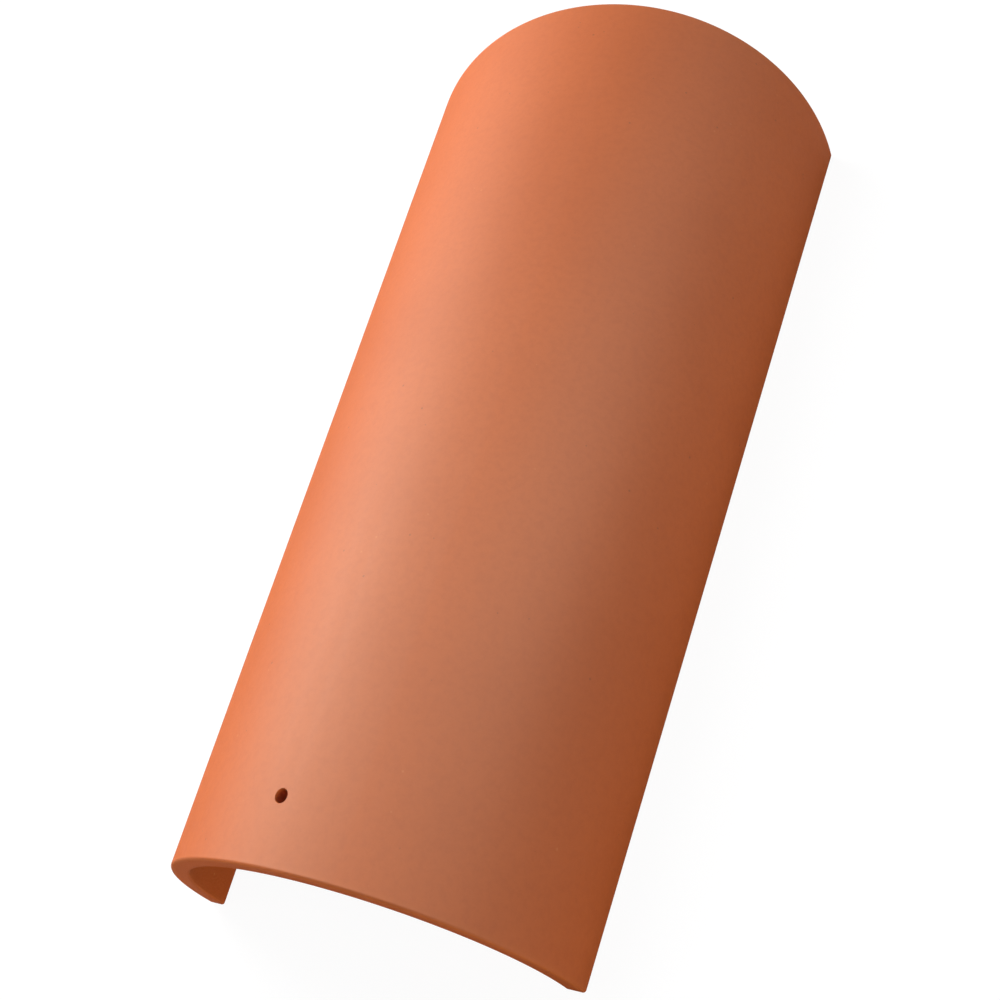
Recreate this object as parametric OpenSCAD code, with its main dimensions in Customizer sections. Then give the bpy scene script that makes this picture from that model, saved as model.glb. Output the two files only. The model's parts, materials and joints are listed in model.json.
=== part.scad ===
// Tapered barrel roof tile, pressed and fired from clay in one piece.
// The tile is a slice of a cone: a half round shell that narrows from its lower, wide end to
// its upper, narrow end, so that each tile slips under the wide end of the next one up the roof.
//
// Frame: millimetres, +Z up, +Y from the narrow end to the wide end, origin on the plane of the
// feet, halfway along the tile and halfway across it.

/* [Tile] */
// Length from end to end
tile_length = 450; // [300:5:600]
// Width over the feet at the wide end
wide_width = 242; // [200:1:300]
// Width over the feet at the narrow end
narrow_width = 176; // [140:1:210]
// How far the cone's axis lies below the feet: the section is a little less than half round
axis_drop = 2.5; // [0:0.5:12]
// Thickness of the wall, measured square to it
wall = 8; // [5:0.5:16]
// Radius of the rounded lips at the two ends
lip_radius = 1; // [0.5:0.25:4]

/* [Nail hole] */
// Diameter of the nail hole
nail_hole_d = 5; // [4:0.5:12]
// Distance from the narrow end to the middle of the nail hole
nail_hole_setback = 24.5; // [15:0.5:60]
// Sideways distance from the crown to the middle of the nail hole
nail_hole_offset = -2; // [-20:0.5:20]

/* [Hidden] */
$fn = 96;
clearance = 1;        // how far a cutter reaches past what it cuts
lip_steps = 6;        // flats in each rounded corner of a lip
lip_share = 0.45;     // the most of the wall that the rounding of one corner may take

// The cone's outer radius at each end follows from the width over the feet and the drop of its axis.
narrow_radius = norm([narrow_width / 2, axis_drop]);
wide_radius = norm([wide_width / 2, axis_drop]);
slope = atan2(wide_radius - narrow_radius, tile_length);
wall_across = wall / cos(slope);              // thickness of the wall in the plane of an end
lip = min(lip_radius, lip_share * wall);      // a lip can't be rounder than its wall allows
reach = max(narrow_radius, wide_radius) + clearance;   // further from the axis than any of the wall

// Points of the arc that rounds the corner at p, between the corners before and after it.
function round_corner(before, p, after, r) =
    let (
        u = (before - p) / norm(before - p),
        v = (after - p) / norm(after - p),
        half = acos(u * v) / 2,
        bisector = (u + v) / norm(u + v),
        centre = p + bisector * r / sin(half),
        first = p + u * r / tan(half) - centre,
        turn = 180 - 2 * half,
        side = sign(u.x * v.y - u.y * v.x)
    )
    [for (i = [0 : lip_steps])
        let (a = -side * turn * i / lip_steps)
        centre + [first.x * cos(a) - first.y * sin(a), first.x * sin(a) + first.y * cos(a)]];

// An outline with every corner rounded to radius r.
function round_outline(points, r) =
    let (n = len(points))
    [for (i = [0 : n - 1])
        each round_corner(points[(i + n - 1) % n], points[i], points[(i + 1) % n], r)];

// The wall seen edge on: x is the distance from the cone's axis, and y runs from the narrow end
// to the wide end.
wall_outline = [
    [narrow_radius - wall_across, -tile_length / 2],
    [narrow_radius, -tile_length / 2],
    [wide_radius, tile_length / 2],
    [wide_radius - wall_across, tile_length / 2]
];

// The whole cone, turned about its own axis, which lies along Y below the feet.
module cone_shell() {
    translate([0, 0, -axis_drop])
        rotate([-90, 0, 0])
            rotate_extrude()
                polygon(round_outline(wall_outline, lip));
}

// Everything below the plane of the feet.
module below_feet() {
    depth = reach + axis_drop;
    translate([-reach, -tile_length / 2 - clearance, -depth])
        cube([2 * reach, tile_length + 2 * clearance, depth]);
}

// An upright round hole through the crown near the narrow end.
module nail_hole() {
    translate([nail_hole_offset, -tile_length / 2 + nail_hole_setback, 0])
        cylinder(d = nail_hole_d, h = reach);
}

module barrel_tile() {
    color([0.78, 0.43, 0.28])
        difference() {
            cone_shell();
            below_feet();
            nail_hole();
        }
}

barrel_tile();
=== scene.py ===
# %% [markdown]
# # A tapered barrel roof tile
# This lesson finishes one clay roof tile: a half-round shell that is wide at one end and narrow at
# the other, so that each tile slips under the next one up the roof. The construction is already
# settled elsewhere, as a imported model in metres. Here the tile gets a finer skin, its fired clay,
# and the light that it is shown in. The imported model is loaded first, because every size and place
# below comes from it.

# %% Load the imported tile
import json
import math

import bpy
from mathutils import Euler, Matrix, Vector


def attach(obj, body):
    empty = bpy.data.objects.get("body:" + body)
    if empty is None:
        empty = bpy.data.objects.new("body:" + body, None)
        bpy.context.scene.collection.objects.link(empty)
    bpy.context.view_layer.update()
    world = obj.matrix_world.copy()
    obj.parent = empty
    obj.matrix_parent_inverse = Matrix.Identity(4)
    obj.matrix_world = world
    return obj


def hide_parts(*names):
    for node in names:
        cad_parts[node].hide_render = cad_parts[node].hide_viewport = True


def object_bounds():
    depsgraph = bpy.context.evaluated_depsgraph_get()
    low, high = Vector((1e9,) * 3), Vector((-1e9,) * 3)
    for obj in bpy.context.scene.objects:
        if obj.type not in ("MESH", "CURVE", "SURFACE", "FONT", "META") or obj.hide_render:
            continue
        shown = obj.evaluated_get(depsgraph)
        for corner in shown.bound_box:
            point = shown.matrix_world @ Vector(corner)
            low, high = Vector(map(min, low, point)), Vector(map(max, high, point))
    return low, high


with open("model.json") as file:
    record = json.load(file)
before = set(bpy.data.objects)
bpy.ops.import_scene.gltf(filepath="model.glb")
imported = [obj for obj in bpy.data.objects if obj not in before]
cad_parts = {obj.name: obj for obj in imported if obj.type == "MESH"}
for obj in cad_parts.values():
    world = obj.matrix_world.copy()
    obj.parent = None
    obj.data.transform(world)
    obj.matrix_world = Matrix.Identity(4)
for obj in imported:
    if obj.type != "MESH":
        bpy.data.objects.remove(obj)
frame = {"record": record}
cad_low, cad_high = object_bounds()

print("packed tile, in metres:", [round(size, 4) for size in cad_high - cad_low])

# %% [markdown]
# ## The tile's own sizes
# A barrel tile is a slice of a cone, and six sizes settle it. The length is read from the packed
# model. The widths, the drop of the cone's axis, the wall and the rounding of the lips are the ones
# that the tile was drawn with. The nail hole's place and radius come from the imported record, which
# states it as a bore. The last five are the hand's work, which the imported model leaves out: how round
# the feet and the corners are, how soft the hole's mouth is, and how deep the clay dips.

# %% State the sizes
TILE = "barrel_tile"

length = cad_high.y - cad_low.y
wide_width = 0.242
narrow_width = 0.176
axis_drop = 0.0025
wall = 0.008
lip_radius = 0.001

narrow_radius = math.hypot(narrow_width / 2, axis_drop)
wide_radius = math.hypot(wide_width / 2, axis_drop)
slope = math.atan2(wide_radius - narrow_radius, length)

nail_mount = next(mount for mount in frame["record"]["mounts"] if mount["name"] == "nail_hole")
nail_radius = nail_mount["dims"]["r_mm"] / 1000

foot_radius = 0.0008
corner_radius = 0.0012
nail_mouth = 0.0004
sag_depth = 0.0002
line_depth = 0.00005


def crown_height(y):
    """Height of the outer face's crown above the feet, at a place along the tile."""
    share = y / length + 0.5
    return narrow_radius + (wide_radius - narrow_radius) * share - axis_drop


print("taper of the wall, in degrees:", round(math.degrees(slope), 2))
print("crown at the narrow end:", round(crown_height(-length / 2), 4))
print("crown at the wide end:", round(crown_height(length / 2), 4))

# %% [markdown]
# ## Two small hands for node trees
# Shapes and finishes below are both made of nodes. Writing a tree in code needs the same few moves
# again and again: add a node, set it, and feed its inputs with either a plain value or another
# node's output. These helpers do that, so that each tree reads as a list of steps.


# %% Helpers that place and feed nodes
def feed(tree, socket, value):
    """Gives a socket a plain value, or links another node's output to it."""
    if isinstance(value, bpy.types.NodeSocket):
        tree.links.new(value, socket)
    else:
        socket.default_value = value


def place(tree, kind, inputs=None, **settings):
    """Adds a node with its settings and inputs, and returns the node."""
    node = tree.nodes.new(kind)
    for name, value in settings.items():
        setattr(node, name, value)
    for key, value in (inputs or {}).items():
        feed(tree, node.inputs[key], value)
    return node


def calc(tree, operation, *values):
    """One step of arithmetic."""
    return place(tree, "ShaderNodeMath", dict(enumerate(values)), operation=operation).outputs[0]


def fade(tree, value, start, end, low=0.0, high=1.0):
    """Goes smoothly from low, where value is at start, to high, where it is at end."""
    inputs = {0: value, 1: start, 2: end, 3: low, 4: high}
    return place(tree, "ShaderNodeMapRange", inputs, interpolation_type="SMOOTHSTEP").outputs[0]


def vector(tree, x, y, z):
    """Joins three values into one vector."""
    return place(tree, "ShaderNodeCombineXYZ", {0: x, 1: y, 2: z}).outputs[0]


def parts(tree, value):
    """The three values of a vector."""
    return place(tree, "ShaderNodeSeparateXYZ", {0: value}).outputs


def noise(tree, place_at, scale, detail=2.0, rough=0.5, seed=0.0):
    """A cloudy pattern from 0 to 1 with a fixed seed. Its scale is in bumps for each metre."""
    inputs = {"Vector": place_at, "W": seed, "Scale": scale, "Detail": detail, "Roughness": rough}
    return place(tree, "ShaderNodeTexNoise", inputs, noise_dimensions="4D").outputs[0]


helpers = (feed, place, calc, fade, vector, parts, noise)
print("node helpers:", ", ".join(helper.__name__ for helper in helpers))


# %% Helpers that make and use node groups
def group(tree, made, inputs):
    """Uses a finished group inside another tree, and returns its outputs."""
    kind = "GeometryNodeGroup" if made.bl_idname == "GeometryNodeTree" else "ShaderNodeGroup"
    node = tree.nodes.new(kind)
    node.node_tree = made
    for key, value in inputs.items():
        feed(tree, node.inputs[key], value)
    return node.outputs


def new_tree(name, kind, inputs, outputs):
    """An empty node tree with named inputs (kind, default) and named outputs (kind)."""
    tree = bpy.data.node_groups.new(name, kind)
    for label, (socket, default) in inputs.items():
        made = tree.interface.new_socket(label, in_out="INPUT", socket_type=socket)
        if default is not None:
            made.default_value = default
    for label, socket in outputs.items():
        tree.interface.new_socket(label, in_out="OUTPUT", socket_type=socket)
    given = tree.nodes.new("NodeGroupInput").outputs
    result = tree.nodes.new("NodeGroupOutput").inputs
    return tree, given, result


NUMBER = "NodeSocketFloat"
VECTOR = "NodeSocketVector"
GEOMETRY = "NodeSocketGeometry"
print("kinds of socket:", NUMBER, VECTOR, GEOMETRY)

# %% [markdown]
# ## Rounding an edge
# A clay slab has no sharp edges: a thumb or a wet cloth runs along each one. Bevelling the finished
# barrel would work, but it makes uneven faces where the edges meet. Here the rounding is a rule
# instead. Near a corner, a square patch of the slab is squeezed into a quarter of a disc. The rule
# works on any two directions, so one group serves the lips, the feet and the corners between them.

# %% A group that rounds one pair of directions
rounded, given, result = new_tree(
    "round an edge",
    "GeometryNodeTree",
    {
        "First": (NUMBER, 0.0),
        "Second": (NUMBER, 0.0),
        "First Half": (NUMBER, 1.0),
        "Second Half": (NUMBER, 1.0),
        "Radius": (NUMBER, 0.1),
    },
    {"First": NUMBER, "Second": NUMBER},
)
LEAST_DIAGONAL = 1e-9

flat_reach, overshoot = {}, {}
for side in ("First", "Second"):
    distance = calc(rounded, "ABSOLUTE", given[side])
    flat_end = calc(rounded, "SUBTRACT", given[side + " Half"], given["Radius"])
    flat_reach[side] = calc(rounded, "MINIMUM", distance, flat_end)
    overshoot[side] = calc(rounded, "SUBTRACT", distance, flat_reach[side])
longer = calc(rounded, "MAXIMUM", overshoot["First"], overshoot["Second"])
squares = [calc(rounded, "POWER", overshoot[side], 2.0) for side in ("First", "Second")]
diagonal = calc(rounded, "SQRT", calc(rounded, "ADD", *squares))
squeeze = calc(rounded, "DIVIDE", longer, calc(rounded, "MAXIMUM", diagonal, LEAST_DIAGONAL))
for side in ("First", "Second"):
    reach = calc(rounded, "MULTIPLY_ADD", overshoot[side], squeeze, flat_reach[side])
    feed(rounded, result[side], calc(rounded, "MULTIPLY", reach, calc(rounded, "SIGN", given[side])))
print("rounding group:", len(rounded.nodes), "nodes")

# %% [markdown]
# ## Crowding the grid towards its edges
# The slab starts as an even grid. A lip only 1 mm round needs several rows of its own, or it would
# come out as a chamfer, and rows that fine everywhere would cost a million faces. So the grid's
# outer rows are crowded into the rounding, and the rest are spread over the open clay.

# %% A group that spaces the grid
crowded, given, result = new_tree(
    "crowd to the edges",
    "GeometryNodeTree",
    {
        "Share": (NUMBER, 0.0),
        "Half": (NUMBER, 1.0),
        "Border": (NUMBER, 0.1),
        "Border Share": (NUMBER, 0.1),
    },
    {"Place": NUMBER},
)
distance = calc(crowded, "ABSOLUTE", given["Share"])
open_share = calc(crowded, "SUBTRACT", 1.0, given["Border Share"])
inside = calc(crowded, "MINIMUM", distance, open_share)
beyond = calc(crowded, "SUBTRACT", distance, inside)
open_size = calc(crowded, "SUBTRACT", given["Half"], given["Border"])
open_part = calc(crowded, "MULTIPLY", calc(crowded, "DIVIDE", inside, open_share), open_size)
border_part = calc(crowded, "DIVIDE", beyond, given["Border Share"])
spaced_out = calc(crowded, "MULTIPLY_ADD", border_part, given["Border"], open_part)
side_of_middle = calc(crowded, "SIGN", given["Share"])
feed(crowded, result["Place"], calc(crowded, "MULTIPLY", spaced_out, side_of_middle))
print("spacing group:", len(crowded.nodes), "nodes")

# %% [markdown]
# ## Draping the slab on a tapered former
# The real tile starts as a flat slab of clay, which is draped over a tapered wooden former. The
# third group does the same. Across the slab becomes an angle round the cone, and depth becomes a
# distance from its axis. Each foot stops where its own radius meets the plane of the feet, so both
# feet come out flat on the floor, however the wall tapers.

# %% A group that bends the slab round the cone
draped, given, result = new_tree(
    "drape on the former",
    "GeometryNodeTree",
    {
        "Across": (NUMBER, 0.0),
        "Along": (NUMBER, 0.0),
        "Depth": (NUMBER, 0.0),
        "Half Across": (NUMBER, 1.0),
        "Length": (NUMBER, 1.0),
        "Narrow Radius": (NUMBER, 1.0),
        "Wide Radius": (NUMBER, 1.0),
        "Axis Drop": (NUMBER, 0.0),
    },
    {"Position": VECTOR},
)
share = calc(draped, "ADD", calc(draped, "DIVIDE", given["Along"], given["Length"]), 0.5)
widening = calc(draped, "SUBTRACT", given["Wide Radius"], given["Narrow Radius"])
outer = calc(draped, "MULTIPLY_ADD", widening, share, given["Narrow Radius"])
taper = calc(draped, "ARCTANGENT", calc(draped, "DIVIDE", widening, given["Length"]))
wall_depth = calc(draped, "DIVIDE", given["Depth"], calc(draped, "COSINE", taper))
radius = calc(draped, "SUBTRACT", outer, wall_depth)
foot_angle = calc(draped, "ARCCOSINE", calc(draped, "DIVIDE", given["Axis Drop"], radius))
angle = calc(draped, "MULTIPLY", calc(draped, "DIVIDE", given["Across"], given["Half Across"]), foot_angle)
above_axis = calc(draped, "MULTIPLY", radius, calc(draped, "COSINE", angle))
height = calc(draped, "SUBTRACT", above_axis, given["Axis Drop"])
sideways = calc(draped, "MULTIPLY", radius, calc(draped, "SINE", angle))
feed(draped, result["Position"], vector(draped, sideways, given["Along"], height))
print("draping group:", len(draped.nodes), "nodes")

# %% [markdown]
# ## The hand-made surface
# No fired tile is a perfect cone. The clay sags a little on its former, and the wooden slick that is
# drawn down its length leaves faint lines. Both are real relief, so they belong in the mesh and not
# only in a bump map. Every dip goes into the wall, so the tile never grows past its drawn size.

# %% A group that says how deep the clay dips
dipped, given, result = new_tree(
    "dips of the slick",
    "GeometryNodeTree",
    {
        "Across": (NUMBER, 0.0),
        "Along": (NUMBER, 0.0),
        "Sag": (NUMBER, sag_depth),
        "Line Depth": (NUMBER, line_depth),
        "Seed": (NUMBER, 0.0),
    },
    {"Dip": NUMBER},
)
SAGS_PER_METRE = 9.0
LINES_PER_METRE = 120.0
LINE_LENGTHS_PER_METRE = 2.5

sag_place = vector(dipped, given["Across"], given["Along"], 0.0)
sag = noise(dipped, sag_place, SAGS_PER_METRE, detail=1.0, seed=given["Seed"])
line_place = vector(
    dipped,
    calc(dipped, "MULTIPLY", given["Across"], LINES_PER_METRE),
    calc(dipped, "MULTIPLY", given["Along"], LINE_LENGTHS_PER_METRE),
    0.0,
)
lines = noise(dipped, line_place, 1.0, detail=2.0, seed=given["Seed"])
line_dip = calc(dipped, "MULTIPLY", lines, given["Line Depth"])
feed(dipped, result["Dip"], calc(dipped, "MULTIPLY_ADD", sag, given["Sag"], line_dip))
print("relief group:", len(dipped.nodes), "nodes")

# %% [markdown]
# ## The nail punch
# The hole is punched through the wet clay with a round pin. The pin drags the skin in a little where
# it enters and pushes a soft mouth where it leaves. The cutter here is that pin: a cylinder whose
# radius flares out near both faces of the wall, by a quarter of a circle that stops just short of
# its full turn, so that no ring lies flat. Its rings are tilted to follow the slope of the
# crown, while its sides stay upright, as the bore is.

# %% A group that makes the pin
punch, given, result = new_tree(
    "nail punch",
    "GeometryNodeTree",
    {
        "Centre": (VECTOR, None),
        "Radius": (NUMBER, nail_radius),
        "Wall Height": (NUMBER, wall),
        "Mouth": (NUMBER, nail_mouth),
        "Slope": (NUMBER, 0.0),
    },
    {"Geometry": GEOMETRY},
)
PUNCH_SIDES = 56
PUNCH_RINGS = 40
PUNCH_REACH = 0.0015

pin = place(
    punch,
    "GeometryNodeMeshCylinder",
    {
        "Vertices": PUNCH_SIDES,
        "Side Segments": PUNCH_RINGS,
        "Radius": 1.0,
        "Depth": calc(punch, "MULTIPLY_ADD", 2.0, PUNCH_REACH, given["Wall Height"]),
    },
)
print("pin:", PUNCH_SIDES, "sides and", PUNCH_RINGS, "rings")

# %% Flare the pin at both faces of the wall
MOUTH_SHARE = 0.97

here = parts(punch, punch.nodes.new("GeometryNodeInputPosition").outputs[0])
half_wall = calc(punch, "MULTIPLY", given["Wall Height"], 0.5)
mouth_start = calc(punch, "SUBTRACT", half_wall, given["Mouth"])
past_start = calc(punch, "SUBTRACT", calc(punch, "ABSOLUTE", here[2]), mouth_start)
into_mouth = calc(punch, "DIVIDE", past_start, given["Mouth"])
into_mouth = calc(punch, "MINIMUM", calc(punch, "MAXIMUM", into_mouth, 0.0), MOUTH_SHARE)
round_part = calc(punch, "SUBTRACT", 1.0, calc(punch, "POWER", into_mouth, 2.0))
curl = calc(punch, "SUBTRACT", 1.0, calc(punch, "SQRT", round_part))
ring_radius = calc(punch, "MULTIPLY_ADD", curl, given["Mouth"], given["Radius"])
ring_x = calc(punch, "MULTIPLY", here[0], ring_radius)
ring_y = calc(punch, "MULTIPLY", here[1], ring_radius)
ring_z = calc(punch, "MULTIPLY_ADD", ring_y, calc(punch, "TANGENT", given["Slope"]), here[2])
ring = vector(punch, ring_x, ring_y, ring_z)
ring_place = place(punch, "ShaderNodeVectorMath", {0: ring, 1: given["Centre"]}, operation="ADD").outputs[0]
shaped_pin = {"Geometry": pin.outputs["Mesh"], "Position": ring_place}
feed(punch, result["Geometry"], place(punch, "GeometryNodeSetPosition", shaped_pin).outputs[0])
print("punch group:", len(punch.nodes), "nodes")

# %% [markdown]
# ## The whole tile as one tree
# Now the groups are put together in the order of the craft: roll the slab, round its edges, drape
# it, punch it. The slab is a cube with a fine grid on all six sides, so the tile is one closed wall
# from the start and needs no seam. After the punch, each face takes one of three finishes, by the
# way it looks from the cone's axis: outward is the slicked skin, inward is the sanded face, and the
# lips, feet and bore between them are cut clay.

# %% Start the tile's tree
tile_tree, given, result = new_tree(
    "barrel tile",
    "GeometryNodeTree",
    {
        "Length": (NUMBER, length),
        "Narrow Radius": (NUMBER, narrow_radius),
        "Wide Radius": (NUMBER, wide_radius),
        "Axis Drop": (NUMBER, axis_drop),
        "Wall": (NUMBER, wall),
        "Lip Radius": (NUMBER, lip_radius),
        "Foot Radius": (NUMBER, foot_radius),
        "Corner Radius": (NUMBER, corner_radius),
        "Sag": (NUMBER, sag_depth),
        "Line Depth": (NUMBER, line_depth),
        "Nail Place": (VECTOR, tuple(nail_mount["pos_m"])),
        "Nail Radius": (NUMBER, nail_radius),
        "Nail Mouth": (NUMBER, nail_mouth),
        "Seed": (NUMBER, 7.0),
        "Slicked Skin": ("NodeSocketMaterial", None),
        "Sanded Face": ("NodeSocketMaterial", None),
        "Cut Clay": ("NodeSocketMaterial", None),
    },
    {"Geometry": GEOMETRY},
)
print("the tile's tree has", len(tile_tree.interface.items_tree), "named sockets")

# %% Roll the slab
ROWS_ACROSS, ROWS_ALONG, ROWS_DEEP = 168, 236, 13

slab = place(
    tile_tree,
    "GeometryNodeMeshCube",
    {
        "Size": (2.0, 2.0, 2.0),
        "Vertices X": ROWS_ACROSS + 1,
        "Vertices Y": ROWS_ALONG + 1,
        "Vertices Z": ROWS_DEEP + 1,
    },
).outputs["Mesh"]
radii = calc(tile_tree, "ADD", given["Narrow Radius"], given["Wide Radius"])
mean_radius = calc(tile_tree, "MULTIPLY", calc(tile_tree, "SUBTRACT", radii, given["Wall"]), 0.5)
mean_foot = calc(tile_tree, "ARCCOSINE", calc(tile_tree, "DIVIDE", given["Axis Drop"], mean_radius))
half_across = calc(tile_tree, "MULTIPLY", mean_radius, mean_foot)
half_along = calc(tile_tree, "MULTIPLY", given["Length"], 0.5)
half_deep = calc(tile_tree, "MULTIPLY", given["Wall"], 0.5)
print("slab grid:", ROWS_ACROSS, "by", ROWS_ALONG, "by", ROWS_DEEP)

# %% Space the slab's grid
BORDER_ROWS = 6
DEEP_BORDER_ROWS = 4

share_across, share_along, share_deep = parts(
    tile_tree, tile_tree.nodes.new("GeometryNodeInputPosition").outputs[0]
)


def spaced(share, half, border, border_rows, all_rows):
    """Moves the even rows of one direction to their crowded places."""
    border_share = 2 * border_rows / all_rows
    inputs = {"Share": share, "Half": half, "Border": border, "Border Share": border_share}
    return group(tile_tree, crowded, inputs)[0]


across = spaced(share_across, half_across, given["Corner Radius"], BORDER_ROWS, ROWS_ACROSS)
along = spaced(share_along, half_along, given["Corner Radius"], BORDER_ROWS, ROWS_ALONG)
deep = spaced(share_deep, half_deep, given["Lip Radius"], DEEP_BORDER_ROWS, ROWS_DEEP)
print("rows crowded into each rounding:", BORDER_ROWS, "and", DEEP_BORDER_ROWS)


# %% Round the slab's edges
def round_pair(first, second, first_half, second_half, radius):
    """Rounds the slab's edges in one pair of directions, and returns the two new places."""
    inputs = {
        "First": first,
        "Second": second,
        "First Half": first_half,
        "Second Half": second_half,
        "Radius": radius,
    }
    made = group(tile_tree, rounded, inputs)
    return made["First"], made["Second"]


along, deep = round_pair(along, deep, half_along, half_deep, given["Lip Radius"])
across, deep = round_pair(across, deep, half_across, half_deep, given["Foot Radius"])
across, along = round_pair(across, along, half_across, half_along, given["Corner Radius"])
print("rounded: lips", lip_radius, "feet", foot_radius, "corners", corner_radius)

# %% Keep the clay calm round the nail
CALM_FROM, CALM_TO = 0.006, 0.03

nail_at = parts(tile_tree, given["Nail Place"])
nail_offset = vector(
    tile_tree,
    calc(tile_tree, "SUBTRACT", across, nail_at[0]),
    calc(tile_tree, "SUBTRACT", along, nail_at[1]),
    0.0,
)
nail_length = place(tile_tree, "ShaderNodeVectorMath", {0: nail_offset}, operation="LENGTH")
nail_distance = nail_length.outputs["Value"]
calm = fade(tile_tree, nail_distance, CALM_FROM, CALM_TO)
print("no dips within", CALM_FROM, "m of the nail")

# %% Press the dips into both faces
INNER_SEED_STEP = 20.0
INNER_SAG = 1.6

depth = calc(tile_tree, "SUBTRACT", half_deep, deep)
inner_share = calc(tile_tree, "DIVIDE", depth, given["Wall"])
outer_share = calc(tile_tree, "SUBTRACT", 1.0, inner_share)
dip_inputs = {
    "Across": across,
    "Along": along,
    "Sag": given["Sag"],
    "Line Depth": given["Line Depth"],
    "Seed": given["Seed"],
}
outer_dip = group(tile_tree, dipped, dip_inputs)[0]
dip_inputs["Seed"] = calc(tile_tree, "ADD", given["Seed"], INNER_SEED_STEP)
dip_inputs["Sag"] = calc(tile_tree, "MULTIPLY", given["Sag"], INNER_SAG)
inner_dip = group(tile_tree, dipped, dip_inputs)[0]
outer_dip = calc(tile_tree, "MULTIPLY", calc(tile_tree, "MULTIPLY", outer_dip, calm), outer_share)
inner_dip = calc(tile_tree, "MULTIPLY", calc(tile_tree, "MULTIPLY", inner_dip, calm), inner_share)
depth = calc(tile_tree, "SUBTRACT", calc(tile_tree, "ADD", depth, outer_dip), inner_dip)
print("the inside sags", INNER_SAG, "times as much as the outside")

# %% Drape the slab
barrel_place = group(
    tile_tree,
    draped,
    {
        "Across": across,
        "Along": along,
        "Depth": depth,
        "Half Across": half_across,
        "Length": given["Length"],
        "Narrow Radius": given["Narrow Radius"],
        "Wide Radius": given["Wide Radius"],
        "Axis Drop": given["Axis Drop"],
    },
)[0]
draped_slab = {"Geometry": slab, "Position": barrel_place}
barrel = place(tile_tree, "GeometryNodeSetPosition", draped_slab).outputs[0]
print("tile tree so far:", len(tile_tree.nodes), "nodes")

# %% Punch the nail hole
widening = calc(tile_tree, "SUBTRACT", given["Wide Radius"], given["Narrow Radius"])
taper = calc(tile_tree, "ARCTANGENT", calc(tile_tree, "DIVIDE", widening, given["Length"]))
punch_tool = group(
    tile_tree,
    punch,
    {
        "Centre": given["Nail Place"],
        "Radius": given["Nail Radius"],
        "Wall Height": calc(tile_tree, "DIVIDE", given["Wall"], calc(tile_tree, "COSINE", taper)),
        "Mouth": given["Nail Mouth"],
        "Slope": taper,
    },
)[0]
punched = place(
    tile_tree,
    "GeometryNodeMeshBoolean",
    {"Mesh 1": barrel, "Mesh 2": punch_tool},
    operation="DIFFERENCE",
    solver="EXACT",
).outputs
all_faces = {"Geometry": punched["Mesh"], "Shade Smooth": True}
smooth = place(tile_tree, "GeometryNodeSetShadeSmooth", all_faces, domain="FACE").outputs[0]
hole_rims = {"Geometry": smooth, "Selection": punched["Intersecting Edges"], "Shade Smooth": False}
smooth = place(tile_tree, "GeometryNodeSetShadeSmooth", hole_rims, domain="EDGE").outputs[0]
print("punched and smoothed, with a crisp rim at both mouths of the hole")

# %% Sort the faces into finishes
FACING = 0.72

face_at = parts(tile_tree, tile_tree.nodes.new("GeometryNodeInputPosition").outputs[0])
from_axis = vector(tile_tree, face_at[0], 0.0, calc(tile_tree, "ADD", face_at[2], given["Axis Drop"]))
outward = place(tile_tree, "ShaderNodeVectorMath", {0: from_axis}, operation="NORMALIZE").outputs[0]
face_normal = tile_tree.nodes.new("GeometryNodeInputNormal").outputs[0]
turned = place(tile_tree, "ShaderNodeVectorMath", {0: outward, 1: face_normal}, operation="DOT_PRODUCT")
facing = turned.outputs["Value"]


def give_finish(shape, finish, selection):
    """Gives one finish to the selected faces."""
    inputs = {"Geometry": shape, "Selection": selection, "Material": finish}
    return place(tile_tree, "GeometryNodeSetMaterial", inputs).outputs[0]


shape = give_finish(smooth, given["Cut Clay"], True)
shape = give_finish(shape, given["Slicked Skin"], calc(tile_tree, "GREATER_THAN", facing, FACING))
shape = give_finish(shape, given["Sanded Face"], calc(tile_tree, "LESS_THAN", facing, -FACING))
whole = place(tile_tree, "GeometryNodeRealizeInstances", {"Geometry": shape}).outputs[0]
feed(tile_tree, result["Geometry"], whole)
print("tile tree:", len(tile_tree.nodes), "nodes")

# %% [markdown]
# ## Finding a spot on the tile from inside a material
# A finish follows the form: slick lines run down the length, and wear sits on the lips and on the
# outer arris. So each material first turns its own place on the object into tile measures: how far
# round from the crown, how far along, how deep into the wall, and how far from a lip. Reading object
# coordinates, and not a texture map, means that the pattern has no seam and keeps its real size.

# %% A group that reads the spot on the tile
spot, given, result = new_tree(
    "spot on the tile",
    "ShaderNodeTree",
    {
        "Length": (NUMBER, length),
        "Narrow Radius": (NUMBER, narrow_radius),
        "Wide Radius": (NUMBER, wide_radius),
        "Axis Drop": (NUMBER, axis_drop),
    },
    {"Around": NUMBER, "Along": NUMBER, "Depth": NUMBER, "To Lip": NUMBER, "Object": VECTOR},
)
object_place = spot.nodes.new("ShaderNodeTexCoord").outputs["Object"]
x, y, z = parts(spot, object_place)
above_axis = calc(spot, "ADD", z, given["Axis Drop"])
squares = calc(spot, "ADD", calc(spot, "MULTIPLY", x, x), calc(spot, "MULTIPLY", above_axis, above_axis))
radius = calc(spot, "SQRT", squares)
share = calc(spot, "ADD", calc(spot, "DIVIDE", y, given["Length"]), 0.5)
widening = calc(spot, "SUBTRACT", given["Wide Radius"], given["Narrow Radius"])
outer = calc(spot, "MULTIPLY_ADD", widening, share, given["Narrow Radius"])
mean_radius = calc(spot, "MULTIPLY_ADD", widening, 0.5, given["Narrow Radius"])
feed(spot, result["Around"], calc(spot, "MULTIPLY", calc(spot, "ARCTAN2", x, above_axis), mean_radius))
feed(spot, result["Along"], y)
feed(spot, result["Depth"], calc(spot, "SUBTRACT", outer, radius))
half_length = calc(spot, "MULTIPLY", given["Length"], 0.5)
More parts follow.
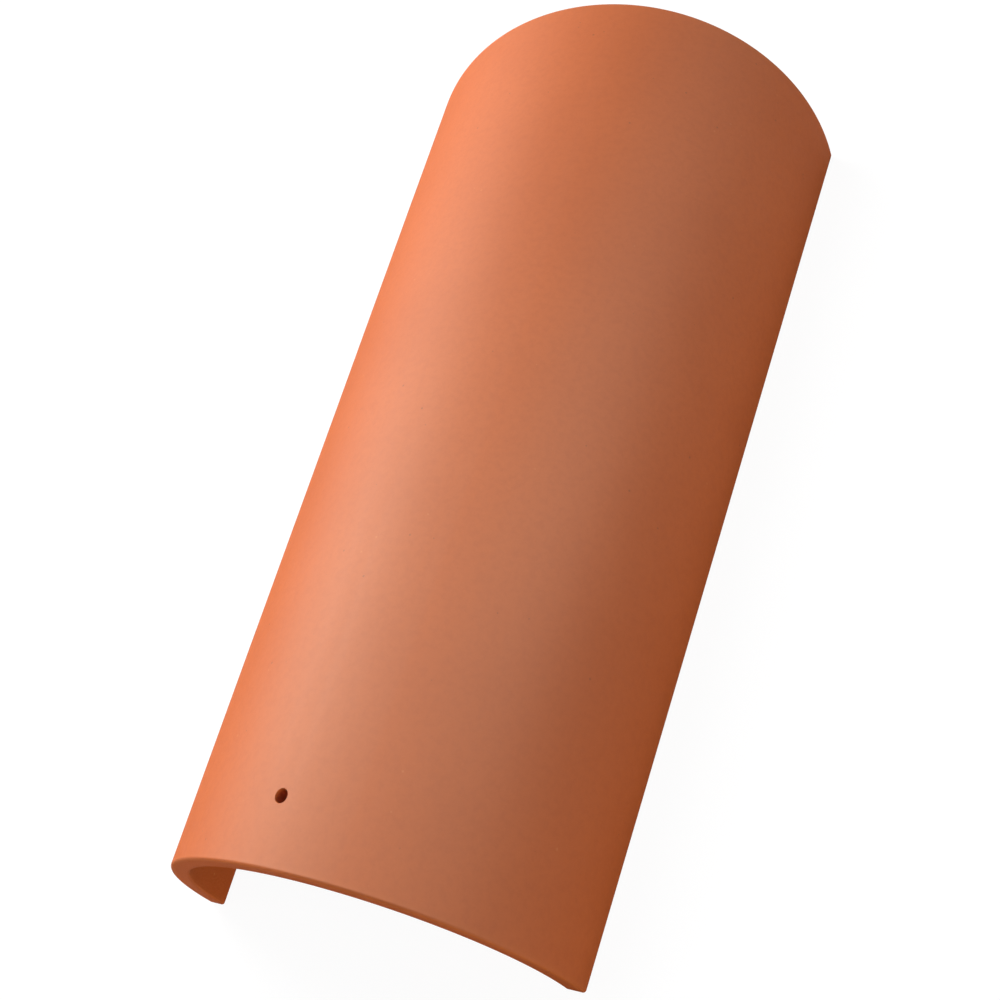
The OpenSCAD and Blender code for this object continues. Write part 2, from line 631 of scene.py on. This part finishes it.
feed(spot, result["To Lip"], calc(spot, "SUBTRACT", half_length, calc(spot, "ABSOLUTE", y)))
feed(spot, result["Object"], object_place)
print("spot group:", len(spot.nodes), "nodes")

# %% [markdown]
# ## What fired clay is made of
# Roof clay is silt and fine sand. Fired, it shows a grain of a millimetre and less, a mottle of a few
# millimetres where silt and sand did not quite mix, a few specks of iron and lime, and slow clouds
# where the kiln was hotter or cooler. The finishes of the tile share them, so each is a group of its
# own, which every finish uses at its own strength. A fourth group wears an edge: it says how close a
# spot is to that edge, and the grain breaks its border up.

# %% The grain group
grain, given, result = new_tree(
    "clay grain",
    "ShaderNodeTree",
    {"Place": (VECTOR, None), "Grains Per Metre": (NUMBER, 900.0), "Seed": (NUMBER, 0.0)},
    {"Tone": NUMBER, "Height": NUMBER, "Mottle": NUMBER},
)
FINE_TO_COARSE = 3.1
FINE_IN_TONE = 0.45
FINE_IN_HEIGHT = 0.35
MOTTLE_TO_COARSE = 0.3
MOTTLE_FROM, MOTTLE_TO = 0.35, 0.75

coarse = noise(grain, given["Place"], given["Grains Per Metre"], detail=3.0, rough=0.55, seed=given["Seed"])
fine_scale = calc(grain, "MULTIPLY", given["Grains Per Metre"], FINE_TO_COARSE)
fine = noise(grain, given["Place"], fine_scale, detail=1.0, rough=0.5, seed=given["Seed"])
fine_tone = calc(grain, "SUBTRACT", fine, 0.5)
feed(grain, result["Tone"], calc(grain, "MULTIPLY_ADD", fine_tone, FINE_IN_TONE, coarse))
feed(grain, result["Height"], calc(grain, "MULTIPLY_ADD", fine, FINE_IN_HEIGHT, coarse))
mottle_scale = calc(grain, "MULTIPLY", given["Grains Per Metre"], MOTTLE_TO_COARSE)
mottle = noise(grain, given["Place"], mottle_scale, detail=2.0, rough=0.6, seed=given["Seed"])
feed(grain, result["Mottle"], fade(grain, mottle, MOTTLE_FROM, MOTTLE_TO))
print("grain group:", len(grain.nodes), "nodes")

# %% The specks group
specks, given, result = new_tree(
    "iron and lime specks",
    "ShaderNodeTree",
    {
        "Place": (VECTOR, None),
        "Cells Per Metre": (NUMBER, 260.0),
        "Share": (NUMBER, 0.12),
        "Size": (NUMBER, 0.22),
    },
    {"Iron": NUMBER, "Lime": NUMBER},
)
LIME_TO_IRON = 0.6
SMALLEST_SPECK = 0.3
SPECK_CORE = 0.45

cells = place(
    specks,
    "ShaderNodeTexVoronoi",
    {"Vector": given["Place"], "Scale": given["Cells Per Metre"], "Randomness": 1.0},
    voronoi_dimensions="3D",
    feature="F1",
)
lot = place(specks, "ShaderNodeSeparateColor", {0: cells.outputs["Color"]}).outputs
size_share = calc(specks, "MULTIPLY_ADD", lot[2], 1.0 - SMALLEST_SPECK, SMALLEST_SPECK)
size_here = calc(specks, "MULTIPLY", given["Size"], size_share)
dot = fade(specks, cells.outputs["Distance"], size_here, calc(specks, "MULTIPLY", size_here, SPECK_CORE))
iron_here = calc(specks, "LESS_THAN", lot[0], given["Share"])
lime_share = calc(specks, "MULTIPLY", given["Share"], LIME_TO_IRON)
lime_here = calc(specks, "GREATER_THAN", lot[0], calc(specks, "SUBTRACT", 1.0, lime_share))
feed(specks, result["Iron"], calc(specks, "MULTIPLY", dot, iron_here))
feed(specks, result["Lime"], calc(specks, "MULTIPLY", dot, lime_here))
print("specks group:", len(specks.nodes), "nodes")

# %% The kiln clouds group
clouds, given, result = new_tree(
    "kiln clouds",
    "ShaderNodeTree",
    {"Place": (VECTOR, None), "Around": (NUMBER, 0.0), "Along": (NUMBER, 0.0), "Seed": (NUMBER, 0.0)},
    {"Cloud": NUMBER, "Streak": NUMBER},
)
CLOUDS_PER_METRE = 11.0
STREAKS_PER_METRE = 170.0
STREAK_LENGTHS_PER_METRE = 4.0
CLOUD_FROM, CLOUD_TO = 0.3, 0.7

slow = noise(clouds, given["Place"], CLOUDS_PER_METRE, detail=3.0, rough=0.5, seed=given["Seed"])
feed(clouds, result["Cloud"], fade(clouds, slow, CLOUD_FROM, CLOUD_TO))
across_streaks = calc(clouds, "MULTIPLY", given["Around"], STREAKS_PER_METRE)
along_streaks = calc(clouds, "MULTIPLY", given["Along"], STREAK_LENGTHS_PER_METRE)
streak_place = vector(clouds, across_streaks, along_streaks, 0.0)
feed(clouds, result["Streak"], noise(clouds, streak_place, 1.0, detail=3.0, rough=0.6, seed=given["Seed"]))
print("clouds group:", len(clouds.nodes), "nodes")

# %% The edge wear group
worn, given, result = new_tree(
    "edge wear",
    "ShaderNodeTree",
    {"Distance": (NUMBER, 1.0), "Width": (NUMBER, 0.0015), "Breaks": (NUMBER, 0.5)},
    {"Wear": NUMBER},
)
LEAST_WEAR = 0.2
WEAR_SPREAD = 1.6

width_share = calc(worn, "MULTIPLY_ADD", given["Breaks"], WEAR_SPREAD, LEAST_WEAR)
ragged = calc(worn, "MULTIPLY", given["Width"], width_share)
feed(worn, result["Wear"], fade(worn, given["Distance"], ragged, 0.0))
print("wear group:", len(worn.nodes), "nodes")

# %% [markdown]
# ## Blending colours and heights
# Two habits keep a finish honest. Colours are blended in linear light, from the body clay towards a
# named tint, by masks that the groups put out. Relief is added up in metres and goes into one bump
# node, so a grain 14 micrometres deep stays that deep whatever else is added.

# %% Name the clay's colours
CLAY = {
    "body": (0.46, 0.091, 0.0127, 1.0),
    "hot fired": (0.45, 0.086, 0.0119, 1.0),
    "cool fired": (0.49, 0.098, 0.0153, 1.0),
    # The sandy tint is painted paler than the clay: painted fill light for the shaded inside of the barrel.
    "sandy with painted fill light": (0.70, 0.172, 0.052, 1.0),
    "slip": (0.54, 0.121, 0.0204, 1.0),
    "deep grain": (0.34, 0.057, 0.0076, 1.0),
    "iron": (0.10, 0.030, 0.010, 1.0),
    "lime": (0.74, 0.339, 0.1122, 1.0),
    "dust": (0.60, 0.174, 0.0391, 1.0),
}
WARM_GLANCE = (1.0, 0.99, 0.80, 1.0)
MICRON = 0.000001
print("clay colours:", ", ".join(CLAY))


# %% Helpers that start a finish and read its patterns
def new_finish(name):
    """A material with a matt clay shader, and the spot readings that every finish starts from."""
    material = bpy.data.materials.new(name)
    material.use_nodes = True
    tree = material.node_tree
    tree.nodes.clear()
    shader = place(tree, "ShaderNodeBsdfPrincipled", {"Metallic": 0.0, "IOR": 1.5})
    place(tree, "ShaderNodeOutputMaterial", {"Surface": shader.outputs[0]})
    return material, tree, shader, group(tree, spot, {})


def kiln_clouds(tree, at, seed):
    """The clouds and streaks of the firing at this spot."""
    inputs = {"Place": at["Object"], "Around": at["Around"], "Along": at["Along"], "Seed": seed}
    return group(tree, clouds, inputs)


def clay_grain(tree, at, per_metre, seed):
    """The grain of the clay at this spot."""
    return group(tree, grain, {"Place": at["Object"], "Grains Per Metre": per_metre, "Seed": seed})


def clay_specks(tree, at, per_metre, share, size):
    """The iron and lime specks at this spot."""
    inputs = {"Place": at["Object"], "Cells Per Metre": per_metre, "Share": share, "Size": size}
    return group(tree, specks, inputs)


print("a finish can call on clouds, grain and specks")


# %% Helpers that colour, roughen and raise a finish
def stain(tree, shader, colour, stains):
    """Lays tints over a colour: each is a mask, the most that it may cover, and the tint's name."""
    for mask, most, name in stains:
        share = calc(tree, "MULTIPLY", mask, most)
        mix = place(tree, "ShaderNodeMix", {0: share, 6: colour, 7: CLAY[name]}, data_type="RGBA")
        colour = mix.outputs[2]
    feed(tree, shader.inputs["Base Color"], colour)


def blend_clay(tree, share, first, second):
    """A colour between two named ones."""
    mix = place(tree, "ShaderNodeMix", {0: share, 6: CLAY[first], 7: CLAY[second]}, data_type="RGBA")
    return mix.outputs[2]


def roughen(tree, shader, base, layers):
    """Sets the roughness: a base value, and layers that each add a pattern times a strength."""
    rough = base
    for pattern, strength in layers:
        rough = calc(tree, "MULTIPLY_ADD", pattern, strength, rough)
    feed(tree, shader.inputs["Roughness"], rough)


def raise_relief(tree, shader, layers):
    """Adds up patterns, each times its height in metres, and feeds them to the shader as a bump."""
    height = 0.0
    for pattern, tall in layers:
        height = calc(tree, "MULTIPLY_ADD", pattern, tall, height)
    bump = place(tree, "ShaderNodeBump", {"Strength": 1.0, "Distance": 1.0, "Height": height})
    feed(tree, shader.inputs["Normal"], bump.outputs[0])


def set_gloss(shader, level):
    """How strongly the surface glances, and the warm tint that fired clay gives to the glance."""
    shader.inputs["Specular IOR Level"].default_value = level
    shader.inputs["Specular Tint"].default_value = WARM_GLANCE


print("each finish gets a matt shader, tints, a roughness and a relief")

# %% [markdown]
# ## The slicked skin
# The outside of the tile was smoothed wet, with a wooden slick drawn from end to end. That brings
# the finest silt to the top: an even, close, almost satin skin, with faint lengthwise lines and the
# odd speck showing through. It is the face that the light runs over, so its roughness matters more
# than its colour: a broad, soft sheen and no sharp highlight.

# %% Make the slicked skin
LIP_WEAR_WIDTH = 0.0030

slicked_skin, tree, shader, at = new_finish("slicked skin")
cloud = kiln_clouds(tree, at, seed=3.0)
fine_grain = clay_grain(tree, at, per_metre=1100.0, seed=1.0)
dots = clay_specks(tree, at, per_metre=210.0, share=0.10, size=0.16)
lip_inputs = {"Distance": at["To Lip"], "Width": LIP_WEAR_WIDTH, "Breaks": fine_grain["Tone"]}
lip_wear = group(tree, worn, lip_inputs)
stain(
    tree,
    shader,
    blend_clay(tree, cloud["Cloud"], "hot fired", "cool fired"),
    [
        (cloud["Streak"], 0.16, "slip"),
        (fine_grain["Tone"], 0.18, "deep grain"),
        (fine_grain["Mottle"], 0.22, "deep grain"),
        (dots["Iron"], 0.45, "iron"),
        (dots["Lime"], 0.12, "lime"),
        (lip_wear["Wear"], 0.16, "dust"),
    ],
)
roughen(tree, shader, base=0.51, layers=[(fine_grain["Tone"], 0.10), (cloud["Streak"], 0.06)])
raise_relief(
    tree,
    shader,
    [(fine_grain["Height"], 14 * MICRON), (cloud["Streak"], 20 * MICRON), (dots["Iron"], -40 * MICRON)],
)
set_gloss(shader, level=0.55)
print("slicked skin:", len(tree.nodes), "nodes")

# %% [markdown]
# ## The sanded face
# The inside lay on the former, which was dusted with sand so that the clay would let go. The sand
# leaves a dry, pitted face, rougher than the skin. Its colour leans towards a sandy tint that is
# painted paler than the skin: painted fill light, which lifts the shade inside the barrel. It needs
# the same clay with a coarser grain and a deeper relief, so only the numbers change, and a layer of
# pits is added.

# %% Make the sanded face
SAND_GRAINS_PER_METRE = 900.0

sanded_face, tree, shader, at = new_finish("sanded face")
cloud = kiln_clouds(tree, at, seed=11.0)
coarse_grain = clay_grain(tree, at, per_metre=620.0, seed=5.0)
dots = clay_specks(tree, at, per_metre=240.0, share=0.16, size=0.24)
lip_inputs = {"Distance": at["To Lip"], "Width": LIP_WEAR_WIDTH, "Breaks": coarse_grain["Tone"]}
lip_wear = group(tree, worn, lip_inputs)
sand_inputs = {"Vector": at["Object"], "Scale": SAND_GRAINS_PER_METRE}
sand = place(tree, "ShaderNodeTexVoronoi", sand_inputs, feature="F1")
stain(
    tree,
    shader,
    # Painted fill light: the blend towards the paler sandy tint lifts the shade inside the barrel.
    blend_clay(tree, cloud["Cloud"], "body", "sandy with painted fill light"),
    [
        (coarse_grain["Tone"], 0.25, "deep grain"),
        (dots["Iron"], 0.5, "iron"),
        (dots["Lime"], 0.5, "lime"),
        (lip_wear["Wear"], 0.16, "dust"),
    ],
)
roughen(tree, shader, base=0.74, layers=[(coarse_grain["Tone"], 0.14)])
raise_relief(
    tree,
    shader,
    [
        (coarse_grain["Height"], 60 * MICRON),
        (sand.outputs["Distance"], -70 * MICRON),
        (cloud["Streak"], 60 * MICRON),
    ],
)
set_gloss(shader, level=0.3)
print("sanded face:", len(tree.nodes), "nodes")

# %% [markdown]
# ## The cut clay
# The lips and the feet were cut with a wire, and the nail hole with a pin. Cutting opens the clay:
# the grain stands proud, and tiny pits are left where an iron speck was dragged out. The colour is
# the skin's, with no slip over it, and the outer arrises are rubbed a little pale where tiles knock
# together.

# %% Make the cut clay
ARRIS_WEAR_WIDTH = 0.0028

cut_clay, tree, shader, at = new_finish("cut clay")
cloud = kiln_clouds(tree, at, seed=3.0)
open_grain = clay_grain(tree, at, per_metre=760.0, seed=9.0)
dots = clay_specks(tree, at, per_metre=300.0, share=0.16, size=0.22)
arris_inputs = {"Distance": at["Depth"], "Width": ARRIS_WEAR_WIDTH, "Breaks": open_grain["Tone"]}
arris_wear = group(tree, worn, arris_inputs)
stain(
    tree,
    shader,
    blend_clay(tree, cloud["Cloud"], "hot fired", "cool fired"),
    [
        (open_grain["Tone"], 0.32, "deep grain"),
        (dots["Iron"], 0.5, "iron"),
        (dots["Lime"], 0.5, "lime"),
        (arris_wear["Wear"], 0.35, "dust"),
    ],
)
roughen(tree, shader, base=0.66, layers=[(open_grain["Tone"], 0.14)])
raise_relief(tree, shader, [(open_grain["Height"], 50 * MICRON), (dots["Iron"], -80 * MICRON)])
set_gloss(shader, level=0.3)
print("cut clay:", len(tree.nodes), "nodes")

# %% [markdown]
# ## Making the tile
# The tree needs an object to run on, so an empty mesh carries it as a modifier. The three finishes
# are handed in by the identifiers of their sockets, before the tree is first run. The result is then
# copied out as one plain mesh, and the carrier is thrown away: a plain mesh is what a printer, a
# game engine or a physics tool can read.

# %% Run the tree and keep a plain mesh
carrier = bpy.data.objects.new("carrier", bpy.data.meshes.new("carrier"))
bpy.context.scene.collection.objects.link(carrier)
modifier = carrier.modifiers.new("tile", "NODES")
modifier.node_group = tile_tree
finishes = {"Slicked Skin": slicked_skin, "Sanded Face": sanded_face, "Cut Clay": cut_clay}
for item in tile_tree.interface.items_tree:
    if item.name in finishes:
        modifier[item.identifier] = finishes[item.name]

depsgraph = bpy.context.evaluated_depsgraph_get()
tile_mesh = bpy.data.meshes.new_from_object(carrier.evaluated_get(depsgraph), depsgraph=depsgraph)
tile_mesh.name = "fired_barrel_tile"
bpy.data.objects.remove(carrier)
tile = bpy.data.objects.new("fired_barrel_tile", tile_mesh)
bpy.context.scene.collection.objects.link(tile)

# The slab starts with an empty slot, which no face uses any more.
for index in reversed(range(len(tile_mesh.materials))):
    if tile_mesh.materials[index] is None:
        tile_mesh.materials.pop(index=index)

tile_mesh.calc_loop_triangles()
print("tile mesh:", len(tile_mesh.vertices), "points,", len(tile_mesh.loop_triangles), "triangles")
print("finishes on it:", [material.name for material in tile_mesh.materials])

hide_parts(TILE)
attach(tile, "root")

# %% [markdown]
# ## The studio
# A matt object wants a plain pale floor. Most of what the camera sees of this floor is a glow of its
# own, so the floor looks almost white and keeps just a faint shadow. The tile does not see that glow:
# it gets only the light that the grey floor really throws back. The room behind is made the same
# way. The camera sees it white, while it lights the tile weakly, so that the shaded side stays deep.

# %% Lay the floor
FLOOR_SIZE = 80.0
FLOOR_GAP = 0.0002
FLOOR_GREY = (0.70, 0.70, 0.70, 1.0)
FLOOR_ROUGHNESS = 0.9
FLOOR_GLOW = 1.05
FLOOR_BACKLIGHT = 0.90
WHITE = (1.0, 1.0, 1.0, 1.0)

half_floor = FLOOR_SIZE / 2
floor_mesh = bpy.data.meshes.new("studio_floor")
corners = [(x * half_floor, y * half_floor, -FLOOR_GAP) for x, y in ((-1, -1), (1, -1), (1, 1), (-1, 1))]
floor_mesh.from_pydata(corners, [], [(0, 1, 2, 3)])
floor = bpy.data.objects.new("studio_floor", floor_mesh)
bpy.context.scene.collection.objects.link(floor)
floor.visible_glossy = False

floor_paint = bpy.data.materials.new("pale floor")
floor_paint.use_nodes = True
floor_tree = floor_paint.node_tree
floor_shader = floor_tree.nodes["Principled BSDF"]
floor_shader.inputs["Base Color"].default_value = FLOOR_GREY
floor_shader.inputs["Roughness"].default_value = FLOOR_ROUGHNESS
backlight = place(floor_tree, "ShaderNodeEmission", {"Color": WHITE, "Strength": FLOOR_GLOW})
camera_ray = floor_tree.nodes.new("ShaderNodeLightPath").outputs["Is Camera Ray"]
glow_share = calc(floor_tree, "MULTIPLY", camera_ray, FLOOR_BACKLIGHT)
both = {0: glow_share, 1: floor_shader.outputs[0], 2: backlight.outputs[0]}
floor_mix = place(floor_tree, "ShaderNodeMixShader", both)
feed(floor_tree, floor_tree.nodes["Material Output"].inputs["Surface"], floor_mix.outputs[0])
floor_mesh.materials.append(floor_paint)
print("floor:", FLOOR_SIZE, "m square")

# %% Paint the room behind the floor
ROOM_LIGHT = 0.26
ROOM_SHOWN = 1.0

world = bpy.data.worlds.new("pale room")
world.use_nodes = True
room_tree = world.node_tree
room = room_tree.nodes["Background"]
room.inputs["Color"].default_value = WHITE
seen = room_tree.nodes.new("ShaderNodeLightPath").outputs["Is Camera Ray"]
room_strength = calc(room_tree, "MULTIPLY_ADD", seen, ROOM_SHOWN - ROOM_LIGHT, ROOM_LIGHT)
feed(room_tree, room.inputs["Strength"], room_strength)
bpy.context.scene.world = world
world.cycles_visibility.glossy = False
bpy.context.scene.view_settings.view_transform = "Standard"
print("room light:", ROOM_LIGHT, "of white")

# %% [markdown]
# ## The lamps
# Light does two things on fired clay. Most of it sinks in and comes back coloured, and a little
# glances off the skin as a pale sheen. The two are lit apart here, so that each can be placed where
# it flatters the barrel. The matt lamps are a key lamp from the left and behind, a fill lamp from
# the right, and a low lamp that lifts the left flank. The gloss lamps only draw the sheen: a strong
# one just left of the crown and a faint one on the shaded side. The strong ones are broad, because a
# small lamp would draw a hard shadow and a hot line along the crown.

# %% Hang the lamps
TILE_MIDDLE = Vector((0.0, 0.0, 0.07))


def soft_lamp(name, direction, distance, along, across, watts):
    """An oblong lamp that looks at the middle of the tile from a direction."""
    lamp = bpy.data.lights.new(name, "AREA")
    lamp.shape = "RECTANGLE"
    lamp.size = along
    lamp.size_y = across
    lamp.energy = watts
    holder = bpy.data.objects.new(name, lamp)
    towards = Vector(direction).normalized()
    holder.location = TILE_MIDDLE + towards * distance
    holder.rotation_euler = towards.to_track_quat("Z", "Y").to_euler()
    holder.visible_camera = False
    bpy.context.scene.collection.objects.link(holder)
    return holder


matt_lamps = [
    soft_lamp("key lamp", (-0.67, 0.46, 0.74), distance=1.7, along=1.15, across=1.15, watts=47.9),
    soft_lamp("fill lamp", (0.87, -0.44, 0.205), distance=2.2, along=1.4, across=1.0, watts=18.6),
    soft_lamp("low lamp", (-0.85, -0.50, 0.04), distance=1.2, along=0.6, across=0.2, watts=6.6),
]
for holder in matt_lamps:
    holder.visible_glossy = False

gloss_lamps = [
    soft_lamp("left sheen lamp", (-0.56, 0.11, 0.82), distance=2.4, along=1.5, across=3.0, watts=119.0),
    soft_lamp("right sheen lamp", (0.58, 0.21, 0.78), distance=1.6, along=0.8, across=1.8, watts=28.0),
]
for holder in gloss_lamps:
    holder.visible_diffuse = False

print("lamps:", [holder.name for holder in matt_lamps + gloss_lamps])

# %% [markdown]
# ## The camera
# The tile is seen from above its narrow end and from its right, so that the nail hole, the long
# taper and the open mouth all show. The camera is also turned about its own line of sight, which
# lays the tile across the picture from corner to corner.

# %% Place the camera
camera_place = Vector((0.2380, -0.2864, 0.3792))
camera_aim = Vector((0.01786, -0.05283, 0.0600))
camera_roll = math.radians(-33.77)

camera_data = bpy.data.cameras.new("camera")
camera_data.lens = 38.2
camera_data.sensor_width = 36.0
camera_data.shift_x = 0.0159
camera_data.shift_y = -0.0030
camera_data.clip_start = 0.01
camera = bpy.data.objects.new("camera", camera_data)
camera.location = camera_place
look = (camera_aim - camera_place).to_track_quat("-Z", "Y")
camera.rotation_euler = (look @ Euler((0.0, 0.0, camera_roll)).to_quaternion()).to_euler()
bpy.context.scene.collection.objects.link(camera)
bpy.context.scene.camera = camera
print("camera distance to its aim:", round((camera_aim - camera_place).length, 3))
